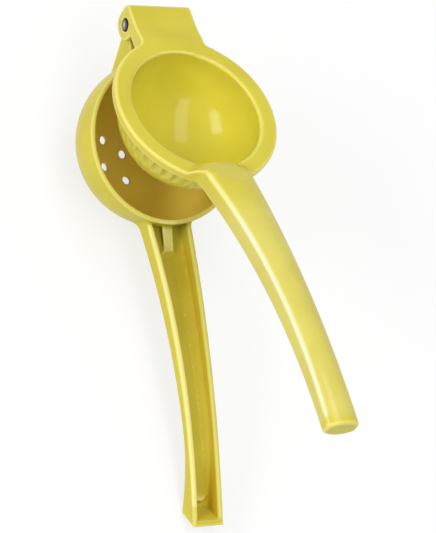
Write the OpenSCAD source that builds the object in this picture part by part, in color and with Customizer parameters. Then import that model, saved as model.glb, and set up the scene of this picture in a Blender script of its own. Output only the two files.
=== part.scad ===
// Hinged hand press for citrus halves: a pierced bowl lever, a cup lever that
// folds down into it, and the pin that joins them.
//
// Both levers are drawn in the lever frame: the hinge pin lies on X at the origin,
// the handles run towards -Y and the mouth of the bowl opens towards +Z. A "run" is
// a distance along -Y. The press is then set down on a table, on its bowl and heel,
// with the table at Z = 0 and the origin under the centre of the bowl.

/* [Levers] */
// Distance from the hinge pin to the axis of bowl and cup
axis_run = 50.3; // [49:0.1:56]
// Angle between the levers as the press rests, 0 when closed
open_angle = 27; // [10:1:60]
// Gap between the bowl's rim and the flange when the press is closed
closing_gap = 1.0; // [0.5:0.1:2.5]

/* [Strainer bowl] */
// Outer diameter of the bowl
bowl_d = 73.4; // [70:0.2:76]
// Wall of the bowl
bowl_wall = 2.0; // [1.6:0.1:3]
// Height of the straight wall above the round bottom
bowl_straight = 6.5; // [3:0.5:14]
// Height of the rim above the hinge pin
rim_lift = 3.0; // [2:0.1:5]
// Number of juice holes around the central one
hole_count = 6; // [4:1:8]
// Diameter of a juice hole
hole_d = 3.7; // [2.5:0.1:5]
// Diameter of the ring of juice holes
hole_ring_d = 24; // [16:0.5:32]

/* [Cup] */
// Outer diameter of the flange
flange_d = 75; // [72:0.2:78]
// Thickness of the flange
flange_t = 4.3; // [3:0.1:6]
// Inner diameter of the cup
cup_d = 59.2; // [54:0.2:60]
// Wall of the cup at its ribs
cup_wall = 3.3; // [2.8:0.1:3.8]
// Depth of the cup's equator below the flange's back
cup_drop = -1.9; // [-3:0.1:1]
// Radius of the cup's lip
lip_r = 1.8; // [1.4:0.1:2]
// Number of ribs around the cup
rib_count = 40; // [32:1:44]
// Width of the tool that cuts the grooves between the ribs
groove_d = 3.2; // [2.6:0.1:3.6]
// Depth of the grooves in their middle
groove_depth = 1.2; // [0.6:0.1:1.6]
// Angle of the grooves' middle below the cup's equator
groove_angle = 12; // [8:1:16]

/* [Hinge] */
// Diameter of the hinge pin
pin_d = 5.8; // [4.5:0.1:6.4]
// Height of the pin's domed ends
pin_dome = 0.9; // [0.4:0.1:1.6]
// Diameter of the eye around the pin
eye_d = 13.4; // [12.8:0.1:14.6]
// Thickness of the shell that covers the knuckle
shell_t = 1.5; // [1.2:0.1:2]
// Height of the block's flat front above the pin
block_front = 7.1; // [6.6:0.1:8]
// Rounding of the edge between the block's front and its top
block_round = 2.6; // [1:0.1:3.4]
// Width of the hinge block
block_w = 30.6; // [26:0.2:34]
// Thickness of each ear
ear_t = 2.8; // [2.2:0.1:4]
// Height of the hinge plate's back above the pin
plate_lift = 0.9; // [0.5:0.1:1.6]
// Angle above +Y at which the shell ends
shell_end = 34; // [10:1:60]
// Height of the tab's front face below the pin
tab_drop = 2.0; // [1:0.1:3]
// Slope of the tab's back face
tab_slope = 41.8; // [38:0.2:48]

/* [Handles] */
// Distance from the bowl's axis to the crest of both handles
crest_run = 136; // [125:1:150]
// Radius of both handles at the crest
crest_r = 310; // [270:5:400]
// Distance from the bowl's axis to the ends of the handles
end_run = 166.4; // [155:0.2:180]
// Fillet between the handles and the bowl or flange, seen from above
root_fillet = 4.0; // [2:0.5:6]

/* [Strainer handle] */
// Height of the crest above the bowl's rim
strainer_rise = 13.0; // [9:0.1:15]
// Width at the bowl
strainer_root_w = 21.4; // [18:0.2:26]
// Width at the waist
strainer_waist_w = 14.4; // [12:0.2:18]
// Distance from the bowl's axis to the waist
strainer_waist_run = 146; // [130:1:160]
// Depth at the bowl
strainer_root_depth = 10.0; // [8.5:0.1:12]
// Depth where the heel begins
strainer_waist_depth = 6.1; // [5:0.1:8]
// Distance from the bowl's axis to where the heel begins
heel_start_run = 121; // [110:1:135]
// Radius of the heel's hollow back
heel_r = 105; // [90:1:130]
// Distance from the bowl's axis to the heel's tip
heel_run = 159; // [152:0.2:163]
// Depth of the flat on the heel's tip
heel_flat = 0.25; // [0.1:0.05:0.5]
// Side walls of the channel
channel_wall = 2.3; // [1.8:0.1:3]
// Floor of the channel
channel_floor = 2.4; // [1.8:0.1:3]

/* [Press handle] */
// Height of the shoulder's crest above the flange's face
press_rise = 21.2; // [17:0.1:25]
// Width at the flange
press_root_w = 21.8; // [18:0.2:26]
// Width at the waist
press_waist_w = 14.0; // [12:0.2:18]
// Distance from the bowl's axis to the waist
press_waist_run = 134.6; // [120:0.2:150]
// Height of the sides at the flange
press_root_depth = 8.8; // [7:0.1:9.4]
// Height of the sides at the end
press_end_depth = 4.8; // [4:0.1:7]
// Height of the rounded back above the shoulders
crown = 2.6; // [1.5:0.1:3.5]
// Bulge of the underside at the end
belly = 2.2; // [1:0.1:3]
// Height of the handle's ramp where it starts at the mouth of the cup
ramp_lift = 2.9; // [2.6:0.1:3.2]
// Slope of the ramp
ramp_angle = 26; // [24:1:28]

/* [Hidden] */
$fn = 96;

enamel = [0.84, 0.79, 0.33];
steel = [0.55, 0.53, 0.50];

// radial clearance of the pin in the ears, and in the knuckle that grips it
ear_clearance = 0.05;
knuckle_clearance = 0.01;
// gaps around the knuckle: beside the tab and under the shell
side_gap = 0.3;
shell_gap = 0.35;
// clearance that the hinge plate keeps from the bowl's rim
rim_relief = 0.5;
// edge radii
flange_edge = 1.0;
rim_edge = 0.6;
channel_edge = 0.8;
heel_edge = 2.0;
shoulder_r = 2.3;
handle_end_edge = 1.2;
// length over which the block's front rises to the flange's face
block_blend = 7;
// length by which the blend laps over the flange's rounded edge
blend_lap = 0.4;
// length by which the block and its corner fillets reach into the flange
fillet_sink = 8.6;
// depth by which a corner fillet's round bites into the block and the flange
fillet_bite = 0.2;
// room by which a cut overshoots what it cuts
over = 1;
// height of a cutting cylinder that passes right through a lever
through = 20;

// rounded bosses and seam that the casting leaves in the channel
boss_d = 7;
boss_lift = 0.2;
root_boss_run = 49.6;
heel_boss_run = 152;
gate_w = 4.8;
gate_run = 47.6;
gate_lift = 0.5;
seam_w = 0.5;
seam_lift = 0.3;
seam_shift = 1.2;

bowl_r = bowl_d / 2;
flange_r = flange_d / 2;
cup_r = cup_d / 2;
dome_r = cup_r + cup_wall;
pin_r = pin_d / 2;
eye_r = eye_d / 2;
knuckle_r = eye_r - shell_t - shell_gap;
tab_w = block_w - 2 * ear_t - 2 * side_gap;

// heights in the lever frame
bowl_centre_z = rim_lift - bowl_straight;
flange_back_z = rim_lift + closing_gap;
flange_face_z = flange_back_z + flange_t;
cup_centre_z = flange_back_z - cup_drop;

// runs of the handles, from the pin
bowl_edge_run = axis_run + bowl_r;
flange_edge_run = axis_run + flange_r;
handle_end_run = axis_run + end_run;
heel_tip_run = axis_run + heel_run;
heel_begin_run = axis_run + heel_start_run;

// smooth step from 0 to 1
function ease(t) = let (u = min(max(t, 0), 1)) u * u * (3 - 2 * u);

// height of a handle's edge, a curve with its crest at crest_run
function crest_drop(run) = pow(run - axis_run - crest_run, 2) / (2 * crest_r);

// half width of a handle: a waist that widens to the root
function half_width(run, root_w, waist_w, edge_run, waist_run) =
    (waist_w + (root_w - waist_w) * pow((run - waist_run) / (waist_run - edge_run), 2)) / 2;

// widening of a root fillet at a distance past the round edge it springs from
function fillet(distance) =
    let (d = min(max(distance, 0), root_fillet))
    root_fillet - sqrt(root_fillet * root_fillet - pow(root_fillet - d, 2));

// run at which a handle's side leaves a round edge
function side_run(edge_r, half_w) = axis_run + sqrt(edge_r * edge_r - half_w * half_w);

// points of an arc in the section plane
function arc(x, z, r, from, to, n) =
    [for (i = [0:n]) let (a = from + (to - from) * i / n) [x + r * cos(a), z + r * sin(a)]];

// closed skin over sections that stand along the runs
module sweep(runs, sections) {
    n = len(sections[0]);
    last = len(runs) - 1;
    points = [for (i = [0:last]) for (p = sections[i]) [p[0], -runs[i], p[1]]];
    sides = [for (i = [0:last - 1]) for (k = [0:n - 1])
        let (a = i * n + k, b = i * n + (k + 1) % n)
        each [[a, a + n, b + n], [a, b + n, b]]];
    near = [for (k = [0:n - 1]) k];
    far = [for (k = [0:n - 1]) last * n + n - 1 - k];
    polyhedron(points = points, faces = concat([near], sides, [far]));
}

// ---- strainer lever ----

function strainer_rim(run) = rim_lift + strainer_rise - crest_drop(run);

function strainer_depth(run) =
    let (t = (run - bowl_edge_run) / (heel_begin_run - bowl_edge_run))
    strainer_root_depth - (strainer_root_depth - strainer_waist_depth) * t
    + pow(max(run - heel_begin_run, 0), 2) / (2 * heel_r);

function strainer_back(run) = strainer_rim(run) - strainer_depth(run);

function strainer_half(run) =
    half_width(run, strainer_root_w, strainer_waist_w, bowl_edge_run,
        axis_run + strainer_waist_run)
    + fillet(run - side_run(bowl_r, strainer_root_w / 2 + root_fillet));

// outer section: soft rims above, round corners below
function strainer_section(run) =
    let (w = strainer_half(run), top = strainer_rim(run), low = strainer_back(run))
    concat(
        arc(w - channel_edge, top - channel_edge, channel_edge, 0, 90, 3),
        arc(channel_edge - w, top - channel_edge, channel_edge, 90, 180, 3),
        arc(heel_edge - w, low + heel_edge, heel_edge, 180, 270, 4),
        arc(w - heel_edge, low + heel_edge, heel_edge, 270, 360, 4));

function channel_bed(run) = strainer_back(run) + channel_floor;

// section of the channel: its upper edges rounded outwards, a fine seam along the floor
function channel_section(run) =
    let (w = strainer_half(run) - channel_wall, top = strainer_rim(run))
    let (low = channel_bed(run), r = channel_edge, corner = 1.4)
    concat(
        [[-w - r, top + over]],
        [for (a = [75, 50, 25, 0]) [r * cos(a) - w - r, top - r + r * sin(a)]],
        arc(corner - w, low + corner, corner, 180, 270, 3),
        [[seam_shift - seam_w, low], [seam_shift, low + seam_lift], [seam_shift + seam_w, low]],
        arc(w - corner, low + corner, corner, 270, 360, 3),
        [for (a = [0, 25, 50, 75]) [w + r - r * cos(a), top - r + r * sin(a)]],
        [[w + r, top + over]]);

function steps(from, to, size) =
    let (n = ceil((to - from) / size)) [for (i = [0:n]) from + (to - from) * i / n];

// half space beyond the slanted end of the heel, moved inwards by a wall
module beyond_heel(inset) {
    tip = [-heel_tip_run, strainer_back(heel_tip_run)];
    rim = [-handle_end_run, strainer_rim(handle_end_run)];
    lean = atan2(rim[1] - tip[1], rim[0] - tip[0]);
    translate([0, tip[0], tip[1]]) rotate([lean, 0, 0]) translate([-50, -100, -inset])
        cube([100, 200, 100]);
}

// angle by which the lever leans back to stand on its bowl and its heel
heel_y = heel_run;
heel_z = strainer_back(heel_tip_run) - bowl_centre_z;
lean_angle = atan2(heel_z, heel_y)
    + asin((bowl_r + heel_flat) / sqrt(heel_y * heel_y + heel_z * heel_z));

module table_cut() {
    translate([0, -axis_run, bowl_centre_z]) rotate([-lean_angle, 0, 0])
        translate([-50, -heel_run - 60, -bowl_r - 50]) cube([100, 120, 50]);
}

module strainer_handle() {
    start = bowl_edge_run - bowl_wall - 2;
    runs = concat(steps(start, bowl_edge_run + root_fillet, 1.2),
        steps(bowl_edge_run + root_fillet + 3, handle_end_run + 2, 3.5));
    cut_runs = concat([start - over], runs);
    difference() {
        sweep(runs, [for (r = runs) strainer_section(r)]);
        beyond_heel(0);
        table_cut();
        difference() {
            sweep(cut_runs, [for (r = cut_runs) channel_section(r)]);
            beyond_heel(channel_wall);
        }
    }
    casting_marks();
}

// ejector bosses and the gate bar on the floor of the channel
module casting_marks() {
    root_run = axis_run + root_boss_run;
    heel_boss = axis_run + heel_boss_run;
    root_bed = channel_bed(root_run);
    sink = channel_floor / 2;
    translate([0, -root_run, root_bed - sink]) cylinder(d = boss_d, h = sink + boss_lift);
    translate([-gate_w / 2, -axis_run - gate_run, root_bed - sink / 2])
        cube([gate_w, gate_run - bowl_r + bowl_wall / 2, sink / 2 + boss_lift + gate_lift]);
    translate([0, -heel_boss, channel_bed(heel_boss) - sink])
        cylinder(d = boss_d, h = sink + boss_lift);
}

// round bottom and straight wall of the bowl, with a soft outer rim
module bowl_body() {
    rotate_extrude() {
        intersection() {
            translate([0, bowl_centre_z]) circle(r = bowl_r);
            translate([0, bowl_centre_z - bowl_r]) square([bowl_r, bowl_r]);
        }
        translate([0, bowl_centre_z]) square([bowl_r, bowl_straight - rim_edge]);
        translate([0, bowl_centre_z]) square([bowl_r - rim_edge, bowl_straight]);
        translate([bowl_r - rim_edge, rim_lift - rim_edge]) circle(r = rim_edge);
    }
}

// space inside a bowl: a hemisphere and a straight wall
module hollow(r, centre_z, top_z) {
    rotate_extrude() {
        intersection() {
            translate([0, centre_z]) circle(r = r);
            translate([0, centre_z - r]) square([r, r]);
        }
        translate([0, centre_z]) square([r, top_z - centre_z]);
    }
}

// ring that rounds the mouth of a bowl
module lip_cut(r, face_z, lip) {
    centre = r + lip - lip_bite;
    rotate_extrude() difference() {
        translate([centre - 2 * lip, face_z - lip]) square([2 * lip, lip + over]);
        translate([centre, face_z - lip]) circle(r = lip);
    }
}

module juice_holes() {
    translate([0, -axis_run, bowl_centre_z - bowl_r - over]) {
        cylinder(d = hole_d, h = bowl_r);
        for (i = [0:hole_count - 1]) rotate([0, 0, 30 + i * 360 / hole_count])
            translate([hole_ring_d / 2, 0, 0]) cylinder(d = hole_d, h = bowl_r);
    }
}

// extrusion of a side view, centred on the lever's middle plane
module across(width) {
    translate([-width / 2, 0, 0]) rotate([90, 0, 90]) linear_extrude(width) children();
}

// tab between bowl and knuckle: flat front, and a back face tangent to the knuckle
module tab() {
    touch = knuckle_r * [sin(tab_slope), -cos(tab_slope)];
    inner = -axis_run + bowl_r - bowl_wall - 2;
    back_z = touch[1] + (inner - touch[0]) * tan(tab_slope);
    across(tab_w) {
        circle(r = knuckle_r);
        polygon([touch, [inner, back_z], [inner, -tab_drop], [0, -tab_drop]]);
    }
}

module strainer_lever_body() {
    difference() {
        union() {
            translate([0, -axis_run, 0]) bowl_body();
            strainer_handle();
            tab();
        }
        translate([0, -axis_run, 0]) {
            hollow(bowl_r - bowl_wall, bowl_centre_z, rim_lift + over);
            lip_cut(bowl_r - bowl_wall, rim_lift, rim_edge);
        }
        juice_holes();
        across(tab_w + 2 * over) circle(r = pin_r + knuckle_clearance);
    }
}

// ---- press lever ----

// how far the ramp is flat and then falls to the flange, in half widths, and those at
// the mouth and per millimetre of run
ramp_flat = 0.4;
ramp_fall = 1.15;
ramp_half = 10;
ramp_spread = 0.95;
// half width at which the ramp's skin ends under the flange's face, and its depth there
skin_half = 19;
skin_sink = 2.1;
// step between the flange's edge and the skin, and the skin's depth in the flange
skin_inset = 0.3;
skin_depth = 3.3;
foot_r = 1.6;
foot_thin_r = 0.5;
// how far the mouth's round is set into the wall below it
lip_bite = 0.12;

function press_shoulder(run) = flange_face_z + press_rise - crest_drop(run);

// height of the ramp's skin, which falls away to both sides
function ramp_z(x, run) =
    let (along = run - axis_run - cup_r, half = max(ramp_half + ramp_spread * along, over))
    let (share = 1 - ease((abs(x) / half - ramp_flat) / ramp_fall))
    flange_face_z + (ramp_lift + along * tan(ramp_angle)) * share
    - skin_sink * (1 - share) * (1 - share);

function press_depth(run) =
    let (t = (run - flange_edge_run) / (handle_end_run - flange_edge_run))
    press_root_depth - (press_root_depth - press_end_depth) * t * abs(t);

function press_under(run) =
    max(press_shoulder(run) - press_depth(run), flange_face_z - skin_depth);

function press_half(run) =
    half_width(run, press_root_w, press_waist_w, flange_edge_run,
        axis_run + press_waist_run);

// half width of the skin: along the flange's edge, then a fillet, then the handle
function skin_width(run) =
    let (leave = side_run(flange_r, press_root_w / 2 + root_fillet))
    let (edge_r = flange_r - skin_inset, along = run - axis_run)
    run < leave ? min(sqrt(edge_r * edge_r - along * along), skin_half)
        : press_half(run) + fillet(run - leave);

// inset that rounds the edge around the end face
function end_inset(run) =
    let (d = handle_end_edge - min(handle_end_run - run, handle_end_edge))
    handle_end_edge - sqrt(handle_end_edge * handle_end_edge - d * d);

// section with a rounded back, upright sides and a slightly rounded underside
function press_section(run) =
    let (inset = end_inset(run), w = press_half(run) - inset, r = shoulder_r)
    let (top = press_shoulder(run) - inset, low = press_under(run) + inset)
    let (t = max(run - flange_edge_run, 0) / (handle_end_run - flange_edge_run))
    let (foot_r = foot_thin_r + (foot_r - foot_thin_r) * ease((run - flange_edge_run + 4) / 8))
    let (back_r = (w * w + crown * crown) / (2 * crown), back_z = top + crown - back_r)
    let (edge_z = back_z + sqrt(pow(back_r - r, 2) - pow(w - r, 2)))
    let (turn = atan2(edge_z - back_z, w - r), sag = 0.1 + belly * t)
    let (under_r = (w * w + sag * sag) / (2 * sag), under_z = low - sag + under_r)
    let (foot_z = under_z - sqrt(pow(under_r - foot_r, 2) - pow(w - foot_r, 2)))
    let (tuck = atan2(under_z - foot_z, w - foot_r), wide = (skin_width(run) - inset) / w)
    let (back = concat(
        arc(w - r, edge_z, r, 0, turn, 4),
        [for (i = [1:9]) let (a = turn + (180 - 2 * turn) * i / 10)
            [back_r * cos(a), back_z + back_r * sin(a)]],
        arc(r - w, edge_z, r, 180 - turn, 180, 4)))
    let (under = concat(
        arc(foot_r - w, foot_z, foot_r, 180, 180 + tuck, 3),
        [for (i = [1:5]) let (a = 180 + tuck + (180 - 2 * tuck) * i / 6)
            [under_r * cos(a), under_z + under_r * sin(a)]],
        arc(w - foot_r, foot_z, foot_r, 360 - tuck, 360, 3)))
    concat(
        [for (p = back) [p[0] * wide, min(p[1], ramp_z(p[0] * wide, run))]],
        [for (p = under) [p[0] * wide, p[1]]]);

module press_handle() {
    start = axis_run + sqrt(flange_r * flange_r - skin_half * skin_half) - 2;
    ramp_end = flange_edge_run + 10;
    edge_run = handle_end_run - handle_end_edge;
    runs = concat(steps(start, ramp_end, 1.1), steps(ramp_end + 3, edge_run, 3.5),
        [for (t = [0.3, 0.6, 0.82, 0.95]) edge_run + handle_end_edge * t]);
    sweep(runs, [for (r = runs) press_section(r)]);
}

module soft_disc(r, low, high, edge) {
    rotate_extrude() {
        translate([0, low]) square([r - edge, high - low]);
        translate([0, low + edge]) square([r, high - low - 2 * edge]);
        translate([r - edge, low + edge]) circle(r = edge);
        translate([r - edge, high - edge]) circle(r = edge);
    }
}

// bowl of the cup: a hemisphere with straight grooves that run out down its side
module dome() {
    reach = flange_back_z - cup_centre_z + flange_t / 2;
    translate([0, 0, cup_centre_z]) difference() {
        rotate_extrude() intersection() {
            circle(r = dome_r);
            translate([0, -dome_r]) square([dome_r, dome_r + reach]);
        }
        for (i = [0:rib_count - 1]) rotate([0, groove_angle, i * 360 / rib_count])
            translate([dome_r - groove_depth + groove_d / 2, 0, 0])
                cylinder(d = groove_d, h = dome_r, center = true);
    }
}

// side view of the block: a flat front that rises to the flange and a rounded top edge
module plate_view() {
    flange_y = flange_r - axis_run;
    inner_y = flange_y - fillet_sink;
    crest_y = flange_y - flange_edge + blend_lap;
    polygon([[0, plate_lift], [0, block_front], [crest_y + block_blend, block_front],
        [crest_y, flange_face_z], [inner_y, flange_face_z], [inner_y, plate_lift]]);
    translate([-over, 0]) square([eye_r + over, block_front - block_round]);
    translate([-over, 0]) square([eye_r + over - block_round, block_front]);
    translate([eye_r - block_round, block_front - block_round]) circle(r = block_round);
}

// view of the slot in which the knuckle and the tab turn
module slot_view() {
    far = eye_r + over;
    circle(r = knuckle_r + shell_gap);
    polygon([[0, 0], far * [cos(shell_end), sin(shell_end)], [far, -far],
        [-axis_run, -far], [-axis_run, plate_lift], [0, plate_lift]]);
}

// fillets that round the corners between the block and the flange
module block_fillets() {
    half = block_w / 2;
    centre_x = half + root_fillet - fillet_bite;
    reach = flange_r + root_fillet - fillet_bite;
    centre_y = -axis_run + sqrt(reach * reach - centre_x * centre_x);
    start_y = -axis_run + flange_r - fillet_sink;
    for (side = [0, 1]) mirror([side, 0, 0]) difference() {
        translate([half - over, start_y, flange_back_z])
            cube([centre_x - half + over, centre_y - start_y, flange_t]);
        translate([centre_x, centre_y, 0]) cylinder(r = root_fillet, h = through);
    }
}

module press_lever_body() {
    difference() {
        union() {
            translate([0, -axis_run, 0]) {
                difference() {
                    soft_disc(flange_r, flange_back_z, flange_face_z, flange_edge);
                    lip_cut(cup_r, flange_face_z, lip_r);
                }
                dome();
            }
            press_handle();
            block_fillets();
            difference() {
                across(block_w) {
                    circle(r = eye_r);
                    plate_view();
                }
                across(tab_w + 2 * side_gap) slot_view();
                translate([0, -axis_run, flange_back_z - through])
                    cylinder(r = bowl_r + rim_relief, h = through);
            }
        }
        translate([0, -axis_run, 0])
            hollow(cup_r, cup_centre_z, flange_face_z + 2 * ramp_lift);
        across(block_w + 2 * over) circle(r = pin_r + ear_clearance);
    }
}

// ---- hinge pin ----

module hinge_pin_body() {
    half = block_w / 2 + 0.1;
    ball_r = (pin_r * pin_r + pin_dome * pin_dome) / (2 * pin_dome);
    rotate([0, 90, 0]) rotate_extrude() intersection() {
        translate([0, -half - pin_dome - over])
            square([pin_r, 2 * (half + pin_dome + over)]);
        union() {
            translate([0, -half + over]) square([pin_r + over, 2 * (half - over)]);
            for (side = [-1, 1]) translate([0, side * (half + pin_dome - ball_r)])
                circle(r = ball_r);
        }
    }
}

// ---- placing ----

// from the lever frame to the table, standing on bowl and heel
module on_table() {
    translate([0, 0, bowl_r]) rotate([lean_angle, 0, 0])
        translate([0, axis_run, -bowl_centre_z]) children();
}

module strainer_lever() {
    color(enamel) on_table() strainer_lever_body();
}

module press_lever() {
    color(enamel) on_table() rotate([-open_angle, 0, 0]) press_lever_body();
}

module hinge_pin() {
    color(steel) on_table() hinge_pin_body();
}

strainer_lever();
press_lever();
hinge_pin();
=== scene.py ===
import bpy
import math
import numpy
from mathutils import Vector, Matrix


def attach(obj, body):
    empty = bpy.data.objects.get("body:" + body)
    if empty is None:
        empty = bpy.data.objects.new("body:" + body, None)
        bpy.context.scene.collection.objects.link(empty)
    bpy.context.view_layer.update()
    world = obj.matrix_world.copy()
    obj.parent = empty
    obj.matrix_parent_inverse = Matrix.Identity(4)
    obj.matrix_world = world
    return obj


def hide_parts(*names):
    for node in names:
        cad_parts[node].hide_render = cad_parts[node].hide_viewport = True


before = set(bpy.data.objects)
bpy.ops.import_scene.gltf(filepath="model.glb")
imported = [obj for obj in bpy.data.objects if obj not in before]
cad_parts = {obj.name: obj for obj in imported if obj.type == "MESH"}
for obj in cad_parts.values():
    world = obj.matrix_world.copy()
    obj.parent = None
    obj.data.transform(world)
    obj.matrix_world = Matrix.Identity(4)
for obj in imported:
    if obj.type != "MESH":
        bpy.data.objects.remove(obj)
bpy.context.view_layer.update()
bpy.ops.object.select_all(action='DESELECT')
print("frame loaded")


view = {
    "place": (-0.50396, -0.38485, 0.85155),
    "right": (0.860688, -0.209626, 0.463976),
    "up": (0.019060, 0.923933, 0.382078),
    "lens": 160.82,
}


def addCamera():
    data = bpy.data.cameras.new("camera")
    data.lens = view["lens"]
    data.sensor_width = 36
    data.clip_start = 0.05
    camera = bpy.data.objects.new("camera", data)
    bpy.context.scene.collection.objects.link(camera)
    right = Vector(view["right"]).normalized()
    back = right.cross(Vector(view["up"])).normalized()
    up = back.cross(right)
    turn = Matrix((right, up, back)).transposed().to_4x4()
    camera.matrix_world = Matrix.Translation(view["place"]) @ turn
    bpy.context.scene.camera = camera


addCamera()
print("camera placed")


def newMaterial(name):
    material = bpy.data.materials.new(name)
    material.use_nodes = True
    nodes = material.node_tree.nodes
    nodes.clear()
    out = nodes.new("ShaderNodeOutputMaterial")
    shader = nodes.new("ShaderNodeBsdfPrincipled")
    material.node_tree.links.new(shader.outputs[0], out.inputs[0])
    coords = nodes.new("ShaderNodeTexCoord")
    return material, nodes, material.node_tree.links, shader, coords


def noiseNode(nodes, links, coords, scale, detail=3.0):
    noise = nodes.new("ShaderNodeTexNoise")
    noise.inputs["Scale"].default_value = scale
    noise.inputs["Detail"].default_value = detail
    links.new(coords.outputs["Object"], noise.inputs["Vector"])
    return noise


def mixColor(nodes, links, share, first, second, mode='MIX'):
    mix = nodes.new("ShaderNodeMix")
    mix.data_type = 'RGBA'
    mix.blend_type = mode
    for socket, value in ((mix.inputs[0], share), (mix.inputs[6], first), (mix.inputs[7], second)):
        if hasattr(value, "links"):
            links.new(value, socket)
        else:
            socket.default_value = value
    return mix.outputs[2]


def rangeNode(nodes, links, value, low, high, lowTo=0.0, highTo=1.0):
    span = nodes.new("ShaderNodeMapRange")
    span.interpolation_type = 'SMOOTHSTEP'
    span.inputs["From Min"].default_value = low
    span.inputs["From Max"].default_value = high
    span.inputs["To Min"].default_value = lowTo
    span.inputs["To Max"].default_value = highTo
    links.new(value, span.inputs["Value"])
    return span.outputs["Result"]


def attributeNode(nodes, name):
    node = nodes.new("ShaderNodeAttribute")
    node.attribute_name = name
    return node.outputs["Fac"]


def multiplied(nodes, links, color, paintedLightTone):
    return mixColor(nodes, links, 1.0, color, paintedLightTone, 'MULTIPLY')


# the enamel's own colour is thin and deep at random; the other colours here are painted light: a
# highlight on convex edges, shade in creases and in the channel, and a pale highlight band on a
# shoulder
enamelLook = {
    "thin": (0.590, 0.512, 0.052, 1),
    "deep": (0.545, 0.465, 0.042, 1),
    "edge": (0.80, 0.73, 0.22, 1),
    "paintedCreaseShade": (0.34, 0.26, 0.02, 1),
    "paintedChannelShade": (1.0, 0.79, 0.36, 1),
    "paintedShoulderHighlight": (0.88, 0.82, 0.34, 1),
    "rough": 0.36,
    "specular": 0.08,
    "coatRough": 0.10,
    "cloudScale": 34,
    "cloudDetail": 4,
    "cloudRange": (0.35, 0.65),
    "edgeHighlightRange": (45, 190, 0, 0.5),
    "creaseShadeRange": (-260, -50, 0.5, 0),
    "shoulderHighlightRange": (25, 110, 0, 0.5),
    "peelScale": 900,
    "peelDetail": 1,
    "peelStrength": 0.15,
    "peelHeight": 0.00002,
}

# inside says where a lever is hollow, and the painted light its enamel gets there: a tone,
# brighter than outside, that stands in for light bounced about inside the hollow
strainerLook = {
    "inside": {"centre": (0, 0, 0.0367), "from": 0.0353, "to": 0.0360,
               "paintedLightTone": (1.58, 1.42, 2.2, 1)},
    "coat": 0.12,
    "holesWithin": 0.0375,
    "holesAxis": (0, 0.2773, -0.9608),
    "holesCosine": 0.88,
}

# this says where along Y the handle's enamel is painted a little whiter: a painted sheen that
# stands in for a broad highlight on the handle
pressLook = {
    "inside": {"centre": (0, -0.00092, 0.0693), "from": 0.0299, "to": 0.0306,
               "paintedLightTone": (1.10, 1.12, 0.98, 1)},
    "coat": 0.38,
    "paintedSheenBand": {"none": -0.040, "full": -0.070, "neck": -0.154, "tip": -0.159,
             "paintedLightTone": (1.03, 1.05, 2.2, 1)},
    "ribsFrom": 0.0306,
    "ribsTo": 0.0345,
    "ribsTop": 0.0715,
}


def makeEnamel(name, part):
    look = enamelLook
    inside = part["inside"]
    paintedSheenBand = part.get("paintedSheenBand")
    material, nodes, links, shader, coords = newMaterial(name)
    cloud = noiseNode(nodes, links, coords, look["cloudScale"], look["cloudDetail"])
    shift = rangeNode(nodes, links, cloud.outputs["Fac"], *look["cloudRange"])
    color = mixColor(nodes, links, shift, look["deep"], look["thin"])
    away = nodes.new("ShaderNodeVectorMath")
    away.operation = 'DISTANCE'
    away.inputs[1].default_value = inside["centre"]
    links.new(coords.outputs["Object"], away.inputs[0])
    # painted light inside the hollow: the enamel is multiplied by a brighter tone there, in place
    # of light bounced about inside
    hollow = rangeNode(nodes, links, away.outputs["Value"], inside["from"], inside["to"], 1, 0)
    color = mixColor(nodes, links, hollow, color,
                     multiplied(nodes, links, color, inside["paintedLightTone"]))
    # painted highlight: convex edges get a paler colour, in place of light caught by rounded edges
    bend = attributeNode(nodes, "bend")
    edgeHighlightShare = rangeNode(nodes, links, bend, *look["edgeHighlightRange"])
    color = mixColor(nodes, links, edgeHighlightShare, color, look["edge"])
    # painted shade: hollow bends and creases get a darker colour
    creaseShadeShare = rangeNode(nodes, links, bend, *look["creaseShadeRange"])
    color = mixColor(nodes, links, creaseShadeShare, color, look["paintedCreaseShade"])
    # painted highlight: a pale band along a handle's left shoulder
    shoulderHighlightShare = rangeNode(nodes, links, attributeNode(nodes, "paintedShoulderHighlight"), *look["shoulderHighlightRange"])
    color = mixColor(nodes, links, shoulderHighlightShare, color, look["paintedShoulderHighlight"])
    # painted shade: deeper in the handle's channel the enamel is darker and more orange
    color = mixColor(nodes, links, attributeNode(nodes, "paintedChannelShade"), color,
                     multiplied(nodes, links, color, look["paintedChannelShade"]))
    # painted sheen: part of the press handle is whiter, in place of a broad highlight
    if paintedSheenBand:
        apart = nodes.new("ShaderNodeSeparateXYZ")
        links.new(coords.outputs["Object"], apart.inputs[0])
        along = apart.outputs["Y"]
        share = rangeNode(nodes, links, along, paintedSheenBand["full"], paintedSheenBand["none"], 1, 0)
        body = rangeNode(nodes, links, along, paintedSheenBand["tip"], paintedSheenBand["neck"])
        whiter = mixColor(nodes, links, share, color,
                          multiplied(nodes, links, color, paintedSheenBand["paintedLightTone"]))
        color = mixColor(nodes, links, body, color, whiter)
    links.new(color, shader.inputs["Base Color"])
    shader.inputs["Roughness"].default_value = look["rough"]
    shader.inputs["Specular IOR Level"].default_value = look["specular"]
    shader.inputs["Coat Weight"].default_value = part["coat"]
    shader.inputs["Coat Roughness"].default_value = look["coatRough"]
    peel = noiseNode(nodes, links, coords, look["peelScale"], look["peelDetail"])
    bump = nodes.new("ShaderNodeBump")
    bump.inputs["Strength"].default_value = look["peelStrength"]
    bump.inputs["Distance"].default_value = look["peelHeight"]
    links.new(peel.outputs["Fac"], bump.inputs["Height"])
    links.new(bump.outputs["Normal"], shader.inputs["Normal"])
    return material


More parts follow.
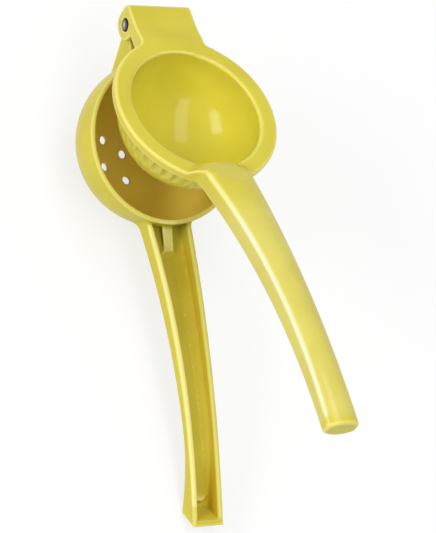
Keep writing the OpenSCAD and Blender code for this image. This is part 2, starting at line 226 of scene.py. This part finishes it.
# the steel's own colour is a grain of two tones; the head also gets a painted glint and a painted
# dark rim
steelLook = {
    "bright": (0.26, 0.245, 0.22, 1),
    "dull": (0.13, 0.12, 0.105, 1),
    "polished": (0.60, 0.55, 0.47, 1),
    "paintedRimShade": (0.035, 0.028, 0.02, 1),
    "rough": 0.26,
    "grainScale": 1500,
    "grainDetail": 2,
    "axis": (0, 0.047357, 0.05401),
    "turn": 22.5,
    "farAlong": 1000,
    "headRadius": 0.0029,
    "rimRange": (0.6, 0.95, 0, 0.95),
    "spotShift": (0, -0.0003, 0.0008),
    "spotSize": (0.0019, 0.0007),
    "spotRange": (0.3, 1.1, 0.95, 0),
}


# distance from a line along X, in parts of the two radii given
def radiusNode(nodes, links, coords, place, radii):
    mapping = nodes.new("ShaderNodeMapping")
    mapping.vector_type = 'TEXTURE'
    mapping.inputs["Location"].default_value = place
    mapping.inputs["Rotation"].default_value = (math.radians(steelLook["turn"]), 0, 0)
    mapping.inputs["Scale"].default_value = (steelLook["farAlong"], *radii)
    links.new(coords.outputs["Object"], mapping.inputs["Vector"])
    length = nodes.new("ShaderNodeVectorMath")
    length.operation = 'LENGTH'
    links.new(mapping.outputs[0], length.inputs[0])
    return length.outputs["Value"]


def makeSteel():
    look = steelLook
    material, nodes, links, shader, coords = newMaterial("pinSteel")
    grain = noiseNode(nodes, links, coords, look["grainScale"], look["grainDetail"])
    color = mixColor(nodes, links, grain.outputs["Fac"], look["dull"], look["bright"])
    place = Vector(look["axis"])
    # painted highlight: a pale glint on the pin's domed head
    spot = radiusNode(nodes, links, coords, place + Vector(look["spotShift"]), look["spotSize"])
    glintShare = rangeNode(nodes, links, spot, *look["spotRange"])
    color = mixColor(nodes, links, glintShare, color, look["polished"])
    # painted shade: a dark ring around the rim of the pin's head
    rim = radiusNode(nodes, links, coords, place, (look["headRadius"], look["headRadius"]))
    rimShadeShare = rangeNode(nodes, links, rim, *look["rimRange"])
    color = mixColor(nodes, links, rimShadeShare, color, look["paintedRimShade"])
    links.new(color, shader.inputs["Base Color"])
    shader.inputs["Metallic"].default_value = 1.0
    shader.inputs["Roughness"].default_value = look["rough"]
    return material


strainerEnamel = makeEnamel("strainerEnamel", strainerLook)
pressEnamel = makeEnamel("pressEnamel", pressLook)
steel = makeSteel()
print("materials made")


castLook = {
    "weld": 0.000002,
    "voxel": 0.00045,
    "smoothTimes": 5,
    "smoothFactor": 0.5,
    "fineSmooth": 0.7,
    "fineEdge": 0.35,
    "faces": 95000,
    "bendRounds": 3,
}

# the shoulder of a handle that carries a painted highlight, a pale band along it
shoulderHighlightLook = {
    "near": -0.036,
    "far": -0.156,
    "right": 0.002,
    "facing": 0.1,
    "rounds": 7,
}


def readVectors(source, key, width=3, kind=float):
    values = numpy.empty(len(source) * width, dtype=kind)
    source.foreach_get(key, values)
    return values.reshape(-1, width)


def readMesh(mesh):
    return (readVectors(mesh.vertices, "co"), readVectors(mesh.vertices, "normal"),
            readVectors(mesh.edges, "vertices", 2, int))


# mean over each vertex's neighbours, as many times as rounds says
def spread(values, edges, rounds):
    first, second = edges[:, 0], edges[:, 1]
    count = len(values)
    degree = numpy.bincount(edges.ravel(), minlength=count)
    for _ in range(rounds):
        total = numpy.bincount(first, values[second], count)
        total += numpy.bincount(second, values[first], count)
        values = (values + total) / (degree + 1)
    return values


def addAttribute(mesh, name, values):
    data = mesh.attributes.new(name, 'FLOAT', 'POINT').data
    data.foreach_set("value", values)


# how sharply the surface bends at each vertex, per metre, and less than 0 in a hollow
def markBend(mesh, fine):
    points, normals, edges = readMesh(mesh)
    first, second = edges[:, 0], edges[:, 1]
    step = points[second] - points[first]
    square = (step * step).sum(axis=1)
    count = len(points)
    bend = numpy.bincount(first, -(step * normals[first]).sum(axis=1) / square, count)
    bend += numpy.bincount(second, (step * normals[second]).sum(axis=1) / square, count)
    bend /= numpy.bincount(edges.ravel(), minlength=count)
    bend = spread(bend, edges, castLook["bendRounds"])
    isFine = numpy.array([fine(vertex.co) for vertex in mesh.vertices])
    bend = numpy.where(isFine & (bend > 0), bend * castLook["fineEdge"], bend)
    addAttribute(mesh, "bend", bend)
    # a second attribute holds a painted highlight: the convex bends on a handle's left shoulder,
    # spread out into a broad pale band
    look = shoulderHighlightLook
    shoulder = (points[:, 1] < look["near"]) & (points[:, 1] > look["far"])
    shoulder &= (points[:, 0] < look["right"]) & (normals[:, 2] > look["facing"])
    top = numpy.where(shoulder, numpy.maximum(bend, 0), 0)
    addAttribute(mesh, "paintedShoulderHighlight", spread(top, edges, look["rounds"]))


channelLook = {
    "start": -0.044,
    "bin": 0.002,
    "wall": 0.0016,
    "from": 0.0008,
    "to": 0.0045,
    "upward": 0.3,
    "flat": 0.75,
    "floorShare": 0.25,
    "rounds": 4,
}


# how deep each vertex lies in the channel of the handle, from 0 to 1, as the share of painted
# shade there: none on the rims, more deeper down, a quarter as much on the flat floor
def markChannelShade(mesh):
    look = channelLook
    points, normals, edges = readMesh(mesh)
    depth = numpy.zeros(len(points))
    slot = numpy.floor((look["start"] - points[:, 1]) / look["bin"]).astype(int)
    for number in range(slot.max() + 1):
        at = numpy.nonzero(slot == number)[0]
        if not len(at):
            continue
        side = abs(points[at, 0]).max()
        inside = abs(points[at, 0]) < side - look["wall"]
        inside &= (points[at, 0] * normals[at, 0] < 0) | (normals[at, 2] > look["upward"])
        below = points[at, 2].max() - points[at, 2]
        share = numpy.clip((below - look["from"]) / (look["to"] - look["from"]), 0, 1)
        share *= numpy.where(normals[at, 2] > look["flat"], look["floorShare"], 1)
        depth[at] = numpy.where(inside, share, 0)
    addAttribute(mesh, "paintedChannelShade", spread(depth, edges, look["rounds"]))


# a copy of the plain solid, its edges softened like those of a coated casting
# fine tells the points whose small forms are kept
def softCasting(node, name, enamel, fine):
    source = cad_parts[node]
    piece = source.copy()
    piece.data = source.data.copy()
    piece.name = name
    piece.data.name = name
    bpy.context.scene.collection.objects.link(piece)
    bpy.ops.object.select_all(action='DESELECT')
    piece.select_set(True)
    bpy.context.view_layer.objects.active = piece
    bpy.ops.object.mode_set(mode='EDIT')
    bpy.ops.mesh.select_all(action='SELECT')
    bpy.ops.mesh.remove_doubles(threshold=castLook["weld"])
    bpy.ops.mesh.normals_make_consistent(inside=False)
    bpy.ops.object.mode_set(mode='OBJECT')
    remesh = piece.modifiers.new("cast", 'REMESH')
    remesh.mode = 'VOXEL'
    remesh.voxel_size = castLook["voxel"]
    bpy.ops.object.modifier_apply(modifier=remesh.name)
    soft = piece.vertex_groups.new(name="soft")
    for vertex in piece.data.vertices:
        share = castLook["fineSmooth"] if fine(vertex.co) else 1.0
        soft.add([vertex.index], share, 'REPLACE')
    smooth = piece.modifiers.new("soften", 'SMOOTH')
    smooth.factor = castLook["smoothFactor"]
    smooth.iterations = castLook["smoothTimes"]
    smooth.vertex_group = "soft"
    bpy.ops.object.modifier_apply(modifier=smooth.name)
    thin = piece.modifiers.new("thin", 'DECIMATE')
    thin.ratio = min(1.0, castLook["faces"] / len(piece.data.polygons))
    bpy.ops.object.modifier_apply(modifier=thin.name)
    piece.vertex_groups.clear()
    bpy.ops.object.shade_smooth()
    markBend(piece.data, fine)
    piece.data.materials.clear()
    piece.data.materials.append(enamel)
    print(name, "triangles", sum(len(p.vertices) - 2 for p in piece.data.polygons))
    return piece


def onRibs(point):
    look = pressLook
    away = (point - Vector(look["inside"]["centre"])).length
    return look["ribsFrom"] < away < look["ribsTo"] and point.z < look["ribsTop"]


# the juice holes lie around the lowest point of the bowl
def onHoles(point):
    look = strainerLook
    out = point - Vector(look["inside"]["centre"])
    cosine = out.normalized().dot(Vector(look["holesAxis"]))
    return out.length < look["holesWithin"] and cosine > look["holesCosine"]


strainer = softCasting("strainer_lever", "strainerCasting", strainerEnamel, onHoles)
markChannelShade(strainer.data)
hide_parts("strainer_lever")
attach(strainer, "strainer")
print("strainer lever made")

press = softCasting("press_lever", "pressCasting", pressEnamel, onRibs)
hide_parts("press_lever")
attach(press, "press")
print("press lever made")

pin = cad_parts["hinge_pin"]
for slot in pin.material_slots:
    slot.material = steel
print("pin dressed")


studio = {
    "floorSize": 6,
    "floorPlace": (0, 0, -0.0002),
    "floorColor": (0.86, 0.86, 0.86, 1),
    "whiteShare": 0.72,
    "world": 0.59,
    "aim": (0, -0.05, 0.05),
    "overhead": {"place": (-0.10, -0.20, 1.05), "width": 0.38, "height": 1.5, "power": 6.8,
                 "lean": 23},
    "left": {"place": (-1.05, 0.10, 0.62), "width": 0.85, "height": 0.35, "power": 6,
             "lean": 0},
}


def addFloor():
    bpy.ops.mesh.primitive_plane_add(size=studio["floorSize"], location=studio["floorPlace"])
    floor = bpy.context.object
    floor.name = "floor"
    material = bpy.data.materials.new("paleFloor")
    material.use_nodes = True
    nodes = material.node_tree.nodes
    links = material.node_tree.links
    nodes.clear()
    out = nodes.new("ShaderNodeOutputMaterial")
    matte = nodes.new("ShaderNodeBsdfDiffuse")
    matte.inputs["Color"].default_value = studio["floorColor"]
    white = nodes.new("ShaderNodeEmission")
    white.inputs["Strength"].default_value = 1.0
    path = nodes.new("ShaderNodeLightPath")
    seen = nodes.new("ShaderNodeMath")
    seen.operation = 'ADD'
    links.new(path.outputs["Is Camera Ray"], seen.inputs[0])
    links.new(path.outputs["Is Glossy Ray"], seen.inputs[1])
    also = nodes.new("ShaderNodeMath")
    also.operation = 'ADD'
    links.new(seen.outputs[0], also.inputs[0])
    links.new(path.outputs["Is Transmission Ray"], also.inputs[1])
    share = nodes.new("ShaderNodeMath")
    share.operation = 'MULTIPLY'
    share.use_clamp = True
    share.inputs[1].default_value = studio["whiteShare"]
    links.new(also.outputs[0], share.inputs[0])
    mix = nodes.new("ShaderNodeMixShader")
    links.new(share.outputs[0], mix.inputs[0])
    links.new(matte.outputs[0], mix.inputs[1])
    links.new(white.outputs[0], mix.inputs[2])
    links.new(mix.outputs[0], out.inputs[0])
    floor.data.materials.append(material)


def addLamp(name):
    look = studio[name]
    data = bpy.data.lights.new(name + "Softbox", 'AREA')
    data.shape = 'RECTANGLE'
    data.size = look["width"]
    data.size_y = look["height"]
    data.energy = look["power"]
    lamp = bpy.data.objects.new(name + "Softbox", data)
    bpy.context.scene.collection.objects.link(lamp)
    lamp.location = look["place"]
    away = Vector(look["place"]) - Vector(studio["aim"])
    turn = away.to_track_quat('Z', 'Y').to_matrix()
    turn = turn @ Matrix.Rotation(math.radians(look["lean"]), 3, 'Z')
    lamp.rotation_euler = turn.to_euler()


def addWorld():
    world = bpy.data.worlds.new("studio")
    bpy.context.scene.world = world
    world.use_nodes = True
    world.node_tree.nodes["Background"].inputs["Color"].default_value = (1, 1, 1, 1)
    world.node_tree.nodes["Background"].inputs["Strength"].default_value = studio["world"]


addFloor()
addWorld()
addLamp("overhead")
addLamp("left")
bpy.context.scene.view_settings.view_transform = 'Standard'
print("floor and lights set")
